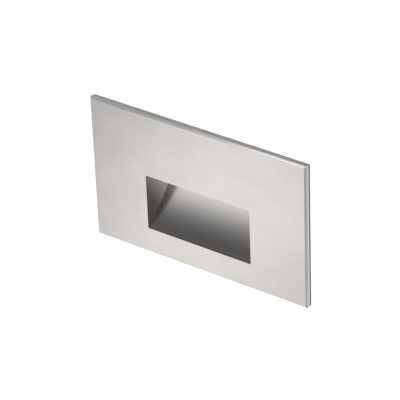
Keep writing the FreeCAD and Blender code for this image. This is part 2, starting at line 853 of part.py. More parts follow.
def gland_body():
    along_y = Vector(0, 1, 0)
    collar_rear = cover_rear + gland_collar_length
    body = chamfered_hexagon(gland_collar_flats, gland_at(cover_rear), gland_collar_length, ("rear",))
    thread_front = gland_at(cover_rear - gland_thread_length)
    thread = rod(gland_thread_radius, thread_front, along_y, gland_thread_length)
    neck = rod(gland_neck_radius, gland_at(collar_rear), along_y, gland_neck_length)
    whole_length = gland_thread_length + gland_collar_length + gland_neck_length
    bore = rod(gland_bore, thread_front, along_y, whole_length)
    cup_front = collar_rear + gland_neck_length - gland_seal_depth
    cup = rod(gland_seal_radius, gland_at(cup_front), along_y, gland_seal_depth)
    return body.fuse([thread, neck]).cut([bore, cup]).removeSplitter()


def gland_seal():
    start = cover_rear + gland_collar_length + gland_neck_length - gland_seal_depth
    length = gland_seal_depth + gland_seal_proud
    return tube(gland_seal_radius, gland_bore, gland_at(start), Vector(0, 1, 0), length)


def gland_cap():
    """A domed cap with grip flutes from its skirt up to its nose."""
    inner = gland_neck_radius + screw_gap
    seal_top = gland_neck_length + gland_seal_proud
    profile = [
        (inner, 0), (gland_cap_radius, 0), (gland_cap_radius, gland_cap_length - gland_cap_nose),
        (gland_mouth + gland_lip, gland_cap_length), (gland_mouth, gland_cap_length), (gland_mouth, seal_top),
        (inner, seal_top),
    ]
    start = cover_rear + gland_collar_length
    cap = turned(profile, gland_at(start), Vector(0, 1, 0))
    nose = [e for e in cap.Edges if e.Closed and abs(e.Curve.Radius - gland_cap_radius) < touch
            and e.Vertexes[0].Y > start + touch]
    cap = cap.makeFillet(gland_cap_nose / 2, nose)
    reach = gland_cap_radius + gland_flute_radius - gland_flute_depth
    flutes = []
    for index in range(gland_flutes):
        angle = 2 * math.pi * index / gland_flutes
        outward = Vector(reach * math.cos(angle), 0, reach * math.sin(angle))
        flutes.append(rod(gland_flute_radius, gland_at(start + gland_cap_skirt) + outward, Vector(0, 1, 0),
                          gland_cap_length))
    return cap.cut(flutes)


def gland_locknut():
    start = gland_at(cover_front - locknut_thick)
    body = chamfered_hexagon(locknut_flats, start, locknut_thick, ("front",))
    return body.cut(rod(gland_thread_radius + screw_gap, start, Vector(0, 1, 0), locknut_thick))


def ground_at(y):
    return Vector(ground_place[0], y, ground_place[1])


def ground_washer():
    return tube(ground_washer_radius, ground_screw_radius + hole_gap, ground_at(cover_rear), Vector(0, 1, 0),
                ground_washer_thick)


def ground_screw():
    return pan_screw(ground_at(cover_rear + ground_washer_thick), Vector(0, 1, 0), ground_screw_radius,
                     ground_screw_length, ground_screw_head, ground_screw_head_height)


def mounting_bracket():
    sheet = rounded_block(-bracket_half, bracket_half, -bracket_thick, 0, -bracket_top, bracket_top,
                          bracket_corner)
    sheet = sheet.cut(rounded_block(-window_half, window_half, -bracket_thick, 0, -window_top, window_top,
                                    housing_corner))
    reach = slot_length / 2 - slot_radius
    slot = stadium(Vector(slot_place - reach, -bracket_thick, 0),
                   Vector(slot_place + reach, -bracket_thick, 0), slot_radius, bracket_thick)
    sheet = sheet.cut(mirrored_pair(slot))
    top = block(-flange_half, flange_half, flange_front, 0, bracket_top, bracket_flange_top)
    bend = [e for e in along(top, Vector(1, 0, 0)) if min(v.Y for v in e.Vertexes) > -touch
            and min(v.Z for v in e.Vertexes) > bracket_top]
    top = top.makeFillet(bracket_bend, bend)
    low = top.mirror(Vector(0, 0, 0), Vector(0, 0, 1))
    return sheet.fuse([top, low]).removeSplitter()


pieces = {
    "mounting_bracket": mounting_bracket(),
    "faceplate": faceplate(),
    "wall_gasket": wall_gasket(),
    "reflector_scoop": reflector_scoop(),
    "lens_gasket": lens_gasket(),
    "lens": lens(),
    "lens_retainer": lens_retainer(),
    "housing": housing(),
    "housing_gasket": housing_gasket(),
    "thermal_pad": thermal_pad(),
    "led_board": led_board(),
    "driver_board": driver_board(),
    "capacitor": capacitor(),
    "transformer": transformer(),
    "fuse": fuse(),
    "rectifier": rectifier(),
    "film_capacitor": film_capacitor(),
    "controller": controller(),
    "link_socket": link_socket(),
    "insulating_sheet": insulating_sheet(),
    "cover_gasket": cover_gasket(),
    "rear_cover": rear_cover(),
    "gland_body": gland_body(),
    "gland_seal": gland_seal(),
    "gland_cap": gland_cap(),
    "gland_locknut": gland_locknut(),
    "ground_washer": ground_washer(),
    "ground_screw": ground_screw(),
}
for index in range(led_count):
    pieces[f"led_{index + 1}"] = led_package(index)
for side_name, side in sides.items():
    pieces[f"set_screw_{side_name}"] = set_screw(side)
    pieces[f"led_screw_{side_name}"] = led_screw(side)
    for height_name, z in zip(heights, side_screw_zs):
        pieces[f"side_screw_{side_name}_{height_name}"] = side_screw(side, z)
    for height_name, z in zip(heights, post_zs):
        pieces[f"cover_screw_{side_name}_{height_name}"] = cover_screw(side, z)
    for height_name, z in zip(heights, board_hole_zs):
        pieces[f"standoff_{side_name}_{height_name}"] = standoff(side * board_hole_x, z)
        pieces[f"board_screw_{side_name}_{height_name}"] = board_screw(side * board_hole_x, z)
    for depth_name, y in zip(("front", "rear"), lens_screw_ys):
        pieces[f"lens_screw_{side_name}_{depth_name}"] = lens_screw(side, y)

for name, solid in pieces.items():
    solid.exportStep(f"parts/{name}.step")
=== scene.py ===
import json
import math
import bpy
import numpy as np
from mathutils import Matrix, Vector

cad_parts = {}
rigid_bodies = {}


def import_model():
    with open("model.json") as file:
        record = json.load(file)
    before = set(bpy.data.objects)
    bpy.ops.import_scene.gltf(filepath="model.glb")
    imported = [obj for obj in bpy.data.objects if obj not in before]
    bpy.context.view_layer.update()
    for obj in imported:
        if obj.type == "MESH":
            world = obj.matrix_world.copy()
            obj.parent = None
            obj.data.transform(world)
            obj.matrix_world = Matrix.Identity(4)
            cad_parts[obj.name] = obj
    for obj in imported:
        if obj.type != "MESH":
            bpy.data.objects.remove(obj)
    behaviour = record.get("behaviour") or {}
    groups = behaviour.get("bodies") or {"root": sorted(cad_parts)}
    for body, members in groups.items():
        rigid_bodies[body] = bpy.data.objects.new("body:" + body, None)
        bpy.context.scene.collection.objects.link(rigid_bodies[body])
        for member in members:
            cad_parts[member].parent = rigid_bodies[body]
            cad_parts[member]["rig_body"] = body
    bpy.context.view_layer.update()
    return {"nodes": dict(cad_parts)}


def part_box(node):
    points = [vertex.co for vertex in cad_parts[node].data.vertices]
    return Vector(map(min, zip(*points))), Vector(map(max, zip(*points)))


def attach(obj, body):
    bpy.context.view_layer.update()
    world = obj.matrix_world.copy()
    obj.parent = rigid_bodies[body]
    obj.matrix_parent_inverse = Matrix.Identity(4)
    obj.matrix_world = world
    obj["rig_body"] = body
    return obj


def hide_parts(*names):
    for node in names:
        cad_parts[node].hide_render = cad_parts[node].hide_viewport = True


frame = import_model()

mm = 0.001
scene = bpy.context.scene
scene.view_settings.view_transform = "Standard"


# node helpers: values are put on sockets by name, links are made by hand
def addNode(tree, kind, values=None, **settings):
    node = tree.nodes.new(kind)
    for key, value in settings.items():
        setattr(node, key, value)
    for key, value in (values or {}).items():
        node.inputs[key].default_value = value
    return node


def newGroup(name, inputs, outputs):
    tree = bpy.data.node_groups.new(name, "ShaderNodeTree")
    for socket, kind, value in inputs:
        made = tree.interface.new_socket(socket, in_out="INPUT", socket_type=kind)
        made.default_value = value
    for socket, kind in outputs:
        tree.interface.new_socket(socket, in_out="OUTPUT", socket_type=kind)
    return tree, tree.nodes.new("NodeGroupInput"), tree.nodes.new("NodeGroupOutput")


def stretchedNoise(tree, stretch, detail, shift=0.0, rough=0.6):
    # noise on Object coordinates times stretch: the larger the stretch, the finer the grain
    place = addNode(tree, "ShaderNodeTexCoord")
    scaled = addNode(tree, "ShaderNodeMapping", {"Scale": stretch, "Location": (shift, shift, shift)})
    noise = addNode(tree, "ShaderNodeTexNoise", {"Scale": 1.0, "Detail": detail, "Roughness": rough})
    tree.links.new(place.outputs["Object"], scaled.inputs["Vector"])
    tree.links.new(scaled.outputs["Vector"], noise.inputs["Vector"])
    return noise.outputs["Fac"]


def aroundZero(tree, fac, amount):
    # fac 0..1 becomes -amount..amount
    span = addNode(tree, "ShaderNodeMath", {1: 0.5}, operation="SUBTRACT")
    gain = addNode(tree, "ShaderNodeMath", operation="MULTIPLY")
    tree.links.new(fac, span.inputs[0])
    tree.links.new(span.outputs[0], gain.inputs[0])
    tree.links.new(amount, gain.inputs[1])
    return gain.outputs[0]


def blended(tree, first, firstShare, second, secondShare):
    # first times its share plus second times its share
    rest = addNode(tree, "ShaderNodeMath", {1: secondShare}, operation="MULTIPLY")
    both = addNode(tree, "ShaderNodeMath", {1: firstShare}, operation="MULTIPLY_ADD")
    tree.links.new(second, rest.inputs[0])
    tree.links.new(first, both.inputs[0])
    tree.links.new(rest.outputs[0], both.inputs[2])
    return both.outputs[0]


def toneAndRough(tree, ends, tone, rough):
    # colour times 1 + tone, roughness plus rough
    source, result = ends
    lift = addNode(tree, "ShaderNodeMath", {1: 1.0}, operation="ADD")
    tinted = addNode(tree, "ShaderNodeVectorMath", operation="SCALE")
    added = addNode(tree, "ShaderNodeMath", operation="ADD")
    tree.links.new(tone, lift.inputs[0])
    tree.links.new(source.outputs["Color"], tinted.inputs[0])
    tree.links.new(lift.outputs[0], tinted.inputs["Scale"])
    tree.links.new(source.outputs["Roughness"], added.inputs[0])
    tree.links.new(rough, added.inputs[1])
    tree.links.new(tinted.outputs["Vector"], result.inputs["Color"])
    tree.links.new(added.outputs[0], result.inputs["Roughness"])


surfaceInputs = [
    ("Color", "NodeSocketColor", (0.5, 0.5, 0.5, 1.0)), ("Roughness", "NodeSocketFloat", 0.4),
    ("Tone Spread", "NodeSocketFloat", 0.1), ("Rough Spread", "NodeSocketFloat", 0.1),
]
surfaceOutputs = [
    ("Color", "NodeSocketColor"), ("Roughness", "NodeSocketFloat"), ("Height", "NodeSocketFloat"),
]


def brushedGroup():
    # long thin streaks along X over broad, faint bands
    grain = {
        "fine": {"stretch": (60.0, 9000.0, 9000.0), "detail": 2.0},
        "coarse": {"stretch": (60.0, 1300.0, 1300.0), "detail": 2.0, "shift": 3.7},
        "band": {"stretch": (45.0, 80.0, 80.0), "detail": 1.0, "shift": 11.0},
    }
    share = {"fine": 0.4, "coarse": 0.6, "streaks": 0.6, "band": 0.4}
    tree, source, result = newGroup("brushedGrain", surfaceInputs, surfaceOutputs)
    fine, coarse, band = (stretchedNoise(tree, **look) for look in grain.values())
    streaks = blended(tree, fine, share["fine"], coarse, share["coarse"])
    toned = blended(tree, streaks, share["streaks"], band, share["band"])
    tone = aroundZero(tree, toned, source.outputs["Tone Spread"])
    rough = aroundZero(tree, streaks, source.outputs["Rough Spread"])
    toneAndRough(tree, (source, result), tone, rough)
    tree.links.new(streaks, result.inputs["Height"])
    return tree


def castGroup():
    # fine granular skin of a casting, with soft clouds of lighter and darker metal
    grain = {
        "pore": {"stretch": (2600.0, 2600.0, 2600.0), "detail": 3.0},
        "cloud": {"stretch": (130.0, 130.0, 130.0), "detail": 4.0, "shift": 5.0},
    }
    share = {"pore": 0.5, "cloud": 0.5}
    tree, source, result = newGroup("castSkin", surfaceInputs, surfaceOutputs)
    pore, cloud = (stretchedNoise(tree, **look) for look in grain.values())
    both = blended(tree, pore, share["pore"], cloud, share["cloud"])
    tone = aroundZero(tree, both, source.outputs["Tone Spread"])
    rough = aroundZero(tree, cloud, source.outputs["Rough Spread"])
    toneAndRough(tree, (source, result), tone, rough)
    tree.links.new(pore, result.inputs["Height"])
    return tree


def mouldedGroup():
    # fine satin texture of a moulded or rubbery skin, faint dust clouds
    grain = {
        "texture": {"stretch": (4200.0, 4200.0, 4200.0), "detail": 2.0},
        "dust": {"stretch": (220.0, 220.0, 220.0), "detail": 3.0, "shift": 2.0},
    }
    tree, source, result = newGroup("mouldedSkin", surfaceInputs, surfaceOutputs)
    texture, dust = (stretchedNoise(tree, **look) for look in grain.values())
    tone = aroundZero(tree, dust, source.outputs["Tone Spread"])
    rough = aroundZero(tree, texture, source.outputs["Rough Spread"])
    toneAndRough(tree, (source, result), tone, rough)
    tree.links.new(texture, result.inputs["Height"])
    return tree


skins = {"brushed": brushedGroup(), "cast": castGroup(), "moulded": mouldedGroup()}


def newMaterial(name, look):
    # one shader, one skin group for colour, roughness and relief, rounded edges through the normal
    made = bpy.data.materials.new(name)
    made.use_nodes = True
    tree = made.node_tree
    shader = tree.nodes["Principled BSDF"]
    for socket, value in look.get("shader", {}).items():
        shader.inputs[socket].default_value = value
    skin = addNode(tree, "ShaderNodeGroup")
    skin.node_tree = skins[look["skin"]]
    skin.inputs["Color"].default_value = (*look["color"], 1.0)
    skin.inputs["Roughness"].default_value = look["rough"]
    skin.inputs["Tone Spread"].default_value = look["toneSpread"]
    skin.inputs["Rough Spread"].default_value = look["roughSpread"]
    bump = addNode(tree, "ShaderNodeBump", {"Strength": look["relief"], "Distance": look["reliefDepth"]})
    tree.links.new(skin.outputs["Color"], shader.inputs["Base Color"])
    tree.links.new(skin.outputs["Roughness"], shader.inputs["Roughness"])
    tree.links.new(skin.outputs["Height"], bump.inputs["Height"])
    if look.get("edge"):
        edge = addNode(tree, "ShaderNodeBevel", {"Radius": look["edge"]}, samples=6)
        tree.links.new(edge.outputs["Normal"], bump.inputs["Normal"])
    tree.links.new(bump.outputs["Normal"], shader.inputs["Normal"])
    return made


# the two spreads vary colour and roughness, relief is the bump's strength, edge rounds corners in the normal
metal = {"Metallic": 1.0}
finishes = {
    "face_steel": {
        "skin": "brushed", "color": (0.708, 0.70, 0.70), "rough": 0.36, "toneSpread": 0.36, "edge": 0.1 * mm,
        "roughSpread": 0.2, "relief": 0.12, "reliefDepth": 0.02 * mm, "shader": metal},
    "scoop_steel": {
        "skin": "brushed", "color": (0.66, 0.64, 0.62), "rough": 0.20, "toneSpread": 0.16,
        "roughSpread": 0.02, "relief": 0.04, "reliefDepth": 0.02 * mm, "shader": metal},
    "zinc_sheet": {
        "skin": "cast", "color": (0.60, 0.62, 0.64), "rough": 0.34, "toneSpread": 0.25, "edge": 0.15 * mm,
        "roughSpread": 0.2, "relief": 0.05, "reliefDepth": 0.02 * mm, "shader": metal},
    "screw_steel": {
        "skin": "cast", "color": (0.58, 0.58, 0.58), "rough": 0.28, "toneSpread": 0.2,
        "roughSpread": 0.15, "relief": 0.05, "reliefDepth": 0.01 * mm, "shader": metal},
    "cast_aluminium": {
        "skin": "cast", "color": (0.46, 0.47, 0.48), "rough": 0.52, "toneSpread": 0.25, "edge": 0.2 * mm,
        "roughSpread": 0.15, "relief": 0.25, "reliefDepth": 0.05 * mm, "shader": metal},
    "grey_silicone": {
        "skin": "moulded", "color": (0.28, 0.28, 0.285), "rough": 0.62, "toneSpread": 0.2,
        "roughSpread": 0.1, "relief": 0.1, "reliefDepth": 0.02 * mm},
    "black_silicone": {
        "skin": "moulded", "color": (0.03, 0.03, 0.03), "rough": 0.58, "toneSpread": 0.3,
        "roughSpread": 0.1, "relief": 0.1, "reliefDepth": 0.02 * mm},
    "pad_silicone": {
        "skin": "moulded", "color": (0.55, 0.58, 0.62), "rough": 0.7, "toneSpread": 0.15,
        "roughSpread": 0.1, "relief": 0.2, "reliefDepth": 0.03 * mm},
    "frosted_glass": {
        "skin": "moulded", "color": (0.9, 0.92, 0.92), "rough": 0.42, "toneSpread": 0.03,
        "roughSpread": 0.12, "relief": 0.15, "reliefDepth": 0.02 * mm,
        "shader": {"Transmission Weight": 0.5, "IOR": 1.5}},
    "white_board": {
        "skin": "moulded", "color": (0.85, 0.85, 0.83), "rough": 0.42, "toneSpread": 0.05,
        "roughSpread": 0.1, "relief": 0.06, "reliefDepth": 0.01 * mm},
    "green_board": {
        "skin": "moulded", "color": (0.03, 0.22, 0.08), "rough": 0.38, "toneSpread": 0.25,
        "roughSpread": 0.1, "relief": 0.08, "reliefDepth": 0.02 * mm},
    "led_phosphor": {
        "skin": "moulded", "color": (0.85, 0.70, 0.20), "rough": 0.3, "toneSpread": 0.12,
        "roughSpread": 0.1, "relief": 0.05, "reliefDepth": 0.01 * mm},
    "black_plastic": {
        "skin": "moulded", "color": (0.03, 0.03, 0.03), "rough": 0.45, "toneSpread": 0.3,
        "roughSpread": 0.15, "relief": 0.15, "reliefDepth": 0.02 * mm},
    "red_plastic": {
        "skin": "moulded", "color": (0.45, 0.06, 0.04), "rough": 0.4, "toneSpread": 0.15,
        "roughSpread": 0.1, "relief": 0.08, "reliefDepth": 0.02 * mm},
    "sleeve_blue": {
        "skin": "moulded", "color": (0.03, 0.05, 0.16), "rough": 0.28, "toneSpread": 0.2,
        "roughSpread": 0.08, "relief": 0.05, "reliefDepth": 0.01 * mm},
    "winding_tape": {
        "skin": "moulded", "color": (0.70, 0.52, 0.10), "rough": 0.36, "toneSpread": 0.15,
        "roughSpread": 0.1, "relief": 0.08, "reliefDepth": 0.02 * mm},
    "fish_paper": {
        "skin": "moulded", "color": (0.32, 0.30, 0.26), "rough": 0.75, "toneSpread": 0.2,
        "roughSpread": 0.1, "relief": 0.25, "reliefDepth": 0.02 * mm},
    "brass": {
        "skin": "cast", "color": (0.78, 0.60, 0.25), "rough": 0.3, "toneSpread": 0.15,
        "roughSpread": 0.12, "relief": 0.05, "reliefDepth": 0.01 * mm, "shader": metal},
    "green_steel": {
        "skin": "moulded", "color": (0.05, 0.32, 0.10), "rough": 0.36, "toneSpread": 0.15,
        "roughSpread": 0.12, "relief": 0.05, "reliefDepth": 0.01 * mm, "shader": {"Coat Weight": 0.3}},
}
materials = {slot: newMaterial(slot, look) for slot, look in finishes.items()}

# the plate's edge round the opening is finished like the scoop behind it
opening = {"half": 30.9 * mm, "low": -21.0 * mm, "high": 9.6 * mm, "face": -4.2 * mm, "margin": 0.06 * mm,
           "rough": 0.21, "height": 0.5}


def finishOpening(made, look, inside):
    # 1 where a point lies behind the face and within the opening's outline, 0 elsewhere
    tree = made.node_tree
    shader = tree.nodes["Principled BSDF"]
    place = addNode(tree, "ShaderNodeTexCoord")
    parts = addNode(tree, "ShaderNodeSeparateXYZ")
    tree.links.new(place.outputs["Object"], parts.inputs[0])
    reach = look["high"] - look["low"]
    limits = [("X", 0.0, look["half"] + look["margin"]),
              ("Z", (look["low"] + look["high"]) / 2.0, reach / 2.0 + look["margin"])]
    behind = addNode(tree, "ShaderNodeMath", {1: look["face"] + look["margin"]}, operation="GREATER_THAN")
    tree.links.new(parts.outputs["Y"], behind.inputs[0])
    mask = behind.outputs[0]
    for axis, middle, half in limits:
        within = addNode(tree, "ShaderNodeMath", {1: middle, 2: half}, operation="COMPARE")
        both = addNode(tree, "ShaderNodeMath", operation="MULTIPLY")
        tree.links.new(parts.outputs[axis], within.inputs[0])
        tree.links.new(mask, both.inputs[0])
        tree.links.new(within.outputs[0], both.inputs[1])
        mask = both.outputs[0]
    bump = next(node for node in tree.nodes if node.type == "BUMP")
    for socket, kind, value in ((shader.inputs["Base Color"], "RGBA", (*inside["color"], 1.0)),
                                (shader.inputs["Roughness"], "FLOAT", look["rough"]),
                                (bump.inputs["Height"], "FLOAT", look["height"])):
        mix = addNode(tree, "ShaderNodeMix", data_type=kind)
        ends = [end for end in mix.inputs if end.enabled and end.name in ("A", "B")]
        tree.links.new(mask, mix.inputs["Factor"])
        tree.links.new(socket.links[0].from_socket, ends[0])
        ends[1].default_value = value
        result = [end for end in mix.outputs if end.enabled][0]
        tree.links.new(result, socket)


finishOpening(materials["face_steel"], opening, finishes["scoop_steel"])
nodeSlots = {}
for name, node in frame["nodes"].items():
    nodeSlots[name] = node.data.materials[0].name.split(".")[0]
    node.data.materials[0] = materials[nodeSlots[name]]
print("materials:", len(materials))


# a grid of points becomes one closed skin
def closedSkin(name, rings, node, loop=False, sharp=35.0, slot=None, instead=True):
    # rings is rows by columns by 3: columns meet round the piece, and the end rows meet each other
    # when loop is true, or else close on their own middle points; the piece goes with its node's body
    rows, columns = rings.shape[:2]
    row, column = np.meshgrid(np.arange(rows if loop else rows - 1), np.arange(columns), indexing="ij")
    after = (row + 1) % rows
    beside = (column + 1) % columns
    near = row * columns
    far = after * columns
    quads = np.stack([near + column, near + beside, far + beside, far + column], -1).reshape(-1, 4)
    triangles = np.vstack([quads[:, [0, 1, 2]], quads[:, [0, 2, 3]]])
    points = rings.reshape(-1, 3)
    faces = quads.tolist()
    if not loop:
        points = np.vstack([points, rings[0].mean(0), rings[-1].mean(0)])
        first = np.arange(columns)
        second = (first + 1) % columns
        last = (rows - 1) * columns
        low = np.stack([second, first, np.full(columns, len(points) - 2)], -1)
        high = np.stack([last + first, last + second, np.full(columns, len(points) - 1)], -1)
        triangles = np.vstack([triangles, low, high])
        faces += low.tolist() + high.tolist()
    a, b, c = (points[triangles[:, k]] for k in range(3))
    if np.einsum("ij,ij->", a, np.cross(b, c)) < 0:
        faces = [face[::-1] for face in faces]  # the volume came out negative, so turn the faces round
    mesh = bpy.data.meshes.new(name)
    mesh.from_pydata(points.tolist(), [], faces)
    mesh.polygons.foreach_set("use_smooth", np.ones(len(mesh.polygons), bool))
    mesh.set_sharp_from_angle(angle=math.radians(sharp))
    slot = slot or nodeSlots[node]
    mesh.materials.append(materials[slot])
    piece = bpy.data.objects.new(name, mesh)
    scene.collection.objects.link(piece)
    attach(piece, frame["nodes"][node]["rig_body"])
    if instead:
        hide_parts(node)


def standing(rings, base, axis):
    # turns rings made along Z so that they stand on base along axis
    turn = np.array(Vector((0.0, 0.0, 1.0)).rotation_difference(Vector(axis)).to_matrix())
    return rings @ turn.T + np.array(base)


def smoothStep(value, low, high):
    # 0 below low, 1 above high, and between them three times the share's square less twice its cube
    share = np.clip((value - low) / (high - low), 0.0, 1.0)
    return share * share * (3.0 - 2.0 * share)


# screws: a turned profile whose shank carries a helix and whose top sinks into a drive recess
recessForm = {"soft": 0.05, "arm": 0.30, "armRoot": 1.15, "armTaper": 0.3, "rise": 0.45, "slotHalf": 0.17}


def driveRecess(kind, x, y, reach):
    # share of the recess depth at each point of the head, 0 outside and 1 inside: a slot runs right
    # across, and a cross is as long as reach, with arms that narrow and rise outwards
    soft = recessForm["soft"] * reach
    if kind == "slot":
        return smoothStep(recessForm["slotHalf"] * reach - np.abs(y), 0.0, soft)
    longer = np.maximum(np.abs(x), np.abs(y))
    shorter = np.minimum(np.abs(x), np.abs(y))
    arm = recessForm["arm"] * reach * (recessForm["armRoot"] - recessForm["armTaper"] * longer / reach)
    floor = 1.0 - recessForm["rise"] * longer / reach
    return smoothStep(reach - longer, 0.0, soft) * smoothStep(arm - shorter, 0.0, soft) * floor


def screwRings(size):
    # radius and height follow the profile, the shank's radius drops by a triangle wave of height less
    # turn, which is a helix, and the top sinks by the recess
    turn = np.linspace(0.0, 2.0 * math.pi, size["columns"], endpoint=False)
    length, radius, head, tall = (size[key] for key in ("length", "radius", "head", "headHeight"))
    shankHeight = np.linspace(-length, 0.0, int(size["turnRows"] * length / size["pitch"]))
    wave = np.abs((shankHeight[:, None] / size["pitch"] - turn[None, :] / (2.0 * math.pi)) % 1.0 - 0.5) * 2.0
    tipStart, tipEnd = (turns * size["pitch"] for turns in size["tipTurns"])
    tip = smoothStep(shankHeight[:, None] + length, tipStart, tipEnd)
    shankRadius = radius * (size["tip"] + (1.0 - size["tip"]) * tip) * (1.0 - size["threadDepth"] * wave)
    shankRadius[-1] = radius * size["neck"]
    rise = np.linspace(0.0, 0.5 * math.pi, size["crownRows"])[:-1]
    if size["form"] == "countersunk":
        sideRadius = np.linspace(radius, head, size["coneRows"])[1:]
        sideHeight = np.linspace(0.0, tall * size["coneTop"], size["coneRows"])[1:]
        crownRadius = head * np.cos(rise)
        crownHeight = np.full_like(rise, tall)
        crownHeight[:2] = tall * np.array(size["rimRise"])
    else:
        edge = size["side"] * tall
        sideRadius = np.array([size["underside"] * head, head, head])
        sideHeight = np.array([0.0, size["underRise"] * tall, edge])
        crownRadius = head * np.cos(rise) ** size["crown"]
        crownHeight = edge + (tall - edge) * np.sin(rise)
    headRadius = np.concatenate([sideRadius, crownRadius])[:, None] * np.ones_like(turn)[None, :]
    if size["form"] == "hexagon":
        wrap = (turn % (math.pi / 3.0)) - math.pi / 6.0
        headRadius = headRadius * (math.cos(math.pi / 6.0) / np.cos(wrap))[None, :]
    headHeight = np.concatenate([sideHeight, crownHeight])[:, None] * np.ones_like(turn)[None, :]
    x = headRadius * np.cos(turn)
    y = headRadius * np.sin(turn)
    sink = size["recessDepth"] * driveRecess(size["drive"], x, y, size["recess"])
    sink[:len(sideRadius)] = 0.0
    ringRadius = np.vstack([shankRadius, headRadius])
    ringHeight = np.vstack([shankHeight[:, None] * np.ones_like(turn)[None, :], headHeight - sink])
    return np.stack([ringRadius * np.cos(turn), ringRadius * np.sin(turn), ringHeight], -1)


# shank, recess and underside are shares of the head, tip and neck of the shank, rises of the head's height
pan = {"form": "pan", "drive": "cross", "side": 0.32, "crown": 0.55, "columns": 72, "crownRows": 26,
       "turnRows": 9, "threadDepth": 0.16, "tip": 0.72, "tipTurns": (-0.2, 1.5), "neck": 0.95,
       "shankShare": 0.54, "recessShare": 0.62, "underside": 0.97, "underRise": 0.06}
countersunk = {**pan, "form": "countersunk", "headHeight": 1.0 * mm, "pitch": 0.45 * mm, "shankShare": 0.55,
               "coneRows": 6, "coneTop": 0.94, "rimRise": (0.96, 0.99)}
screwKinds = {
    "cover_screw": {**pan, "axis": (0, 1, 0), "headHeight": 2.0 * mm, "pitch": 0.7 * mm},
    "board_screw": {**pan, "axis": (0, -1, 0), "headHeight": 1.5 * mm, "pitch": 0.5 * mm},
    "lens_screw": {**pan, "axis": (0, 0, 1), "headHeight": 1.3 * mm, "pitch": 0.45 * mm},
    "led_screw": {**pan, "axis": (0, 0, -1), "headHeight": 1.5 * mm, "pitch": 0.5 * mm},
    "ground_screw": {**pan, "form": "hexagon", "drive": "slot", "axis": (0, 1, 0), "headHeight": 2.0 * mm,
                     "side": 0.8, "crown": 0.8, "pitch": 0.8 * mm, "threadDepth": 0.14},
    "side_screw_left": {**countersunk, "axis": (-1, 0, 0)},
    "side_screw_right": {**countersunk, "axis": (1, 0, 0)},
}


def buildScrew(node, kind):
    # the node's box gives the screw's length and head, its material slot the finish
    low, high = (np.array(corner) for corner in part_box(node))
    axis = np.array(kind["axis"], float)
    along = np.abs(axis) > 0.5
    whole = float((high - low)[along][0])
    head = float((high - low)[~along].max()) / 2.0
    top = (low + high) / 2.0 + axis * whole / 2.0
    size = {**kind, "length": whole - kind["headHeight"], "head": head, "radius": kind["shankShare"] * head,
            "recess": kind["recessShare"] * head, "recessDepth": kind["recessShare"] * kind["headHeight"]}
    rings = standing(screwRings(size), top - axis * kind["headHeight"], axis)
    closedSkin(node + "_turned", rings, node, sharp=40.0)


for node in frame["nodes"]:
    kind = next((screwKinds[key] for key in screwKinds if node.startswith(key)), None)
    if kind:
        buildScrew(node, kind)
print("screws cut")


# set screws: a threaded rod with a hexagonal socket in its lower end and a cupped tip
setScrew = {"pitch": 0.4 * mm, "threadDepth": 0.14, "columns": 72, "turnRows": 9, "bevel": 0.22 * mm,
            "socketFlats": 0.9 * mm, "socketDepth": 1.2 * mm, "socketPoint": 0.3, "socketSide": 0.85,
            "cup": 0.25 * mm, "cupSlope": 0.6, "cupFloor": 0.25}


def buildSetScrew(node, look):
    # from the socket's floor out over the lower end, up the helix and into the cup: each row has one
    # height, the socket rows follow a hexagon's radius and the shank rows a triangle wave, height less turn
    low, high = (np.array(corner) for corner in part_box(node))
    radius = float(high[0] - low[0]) / 2.0
    length = float(high[2] - low[2])
    turn = np.linspace(0.0, 2.0 * math.pi, look["columns"], endpoint=False)
    wrap = (turn % (math.pi / 3.0)) - math.pi / 6.0
    socket = look["socketFlats"] / 2.0 / np.cos(wrap)
    rise = np.linspace(0.0, length, int(look["turnRows"] * length / look["pitch"]))
    wave = np.abs((rise[:, None] / look["pitch"] - turn[None, :] / (2.0 * math.pi)) % 1.0 - 0.5) * 2.0
    ends = np.minimum(rise, length - rise)[:, None]
    shank = radius * (1.0 - look["threadDepth"] * wave) - np.clip(look["bevel"] - ends, 0.0, None)
    rim = np.ones_like(turn)
    tip = radius - look["bevel"]
    radii = np.vstack([socket * look["socketPoint"], socket, socket, shank,
                       look["cupSlope"] * tip * rim, look["cupFloor"] * tip * rim])
    inside = [look["socketDepth"], look["socketDepth"] * look["socketSide"], 0.0]
    cup = [length - look["cup"] * look["cupSlope"], length - look["cup"]]
    heights = np.concatenate([inside, rise, cup])[:, None] * rim
    middle = (low + high) / 2.0
    rings = np.stack([radii * np.cos(turn), radii * np.sin(turn), heights], -1)
    closedSkin(node + "_threaded", rings + np.array([middle[0], middle[1], low[2]]), node, sharp=30.0)


for side in ("left", "right"):
    buildSetScrew("set_screw_" + side, setScrew)
print("set screws cut")


# gaskets: a soft rounded section carried round between an outer and an inner outline
def softSection(count, power):
    # a rounded square from -1 to 1: cosine and sine, each raised to a low power with its sign kept
    turn = np.linspace(0.0, 2.0 * math.pi, count, endpoint=False)
    across = np.sign(np.cos(turn)) * np.abs(np.cos(turn)) ** (2.0 / power)
    through = np.sign(np.sin(turn)) * np.abs(np.sin(turn)) ** (2.0 / power)
    return across, through


def carried(outer, inner, low, high, section):
    # each point lies between the two outlines by the section's across and between low and high by its through
    across, through = section
    middle = (outer + inner)[:, None, :] / 2.0
    reach = (outer - inner)[:, None, :] / 2.0
    flat = middle + reach * across[None, :, None]
    level = np.broadcast_to((low + high) / 2.0 + (high - low) / 2.0 * through, flat.shape[:2])
    return flat, level


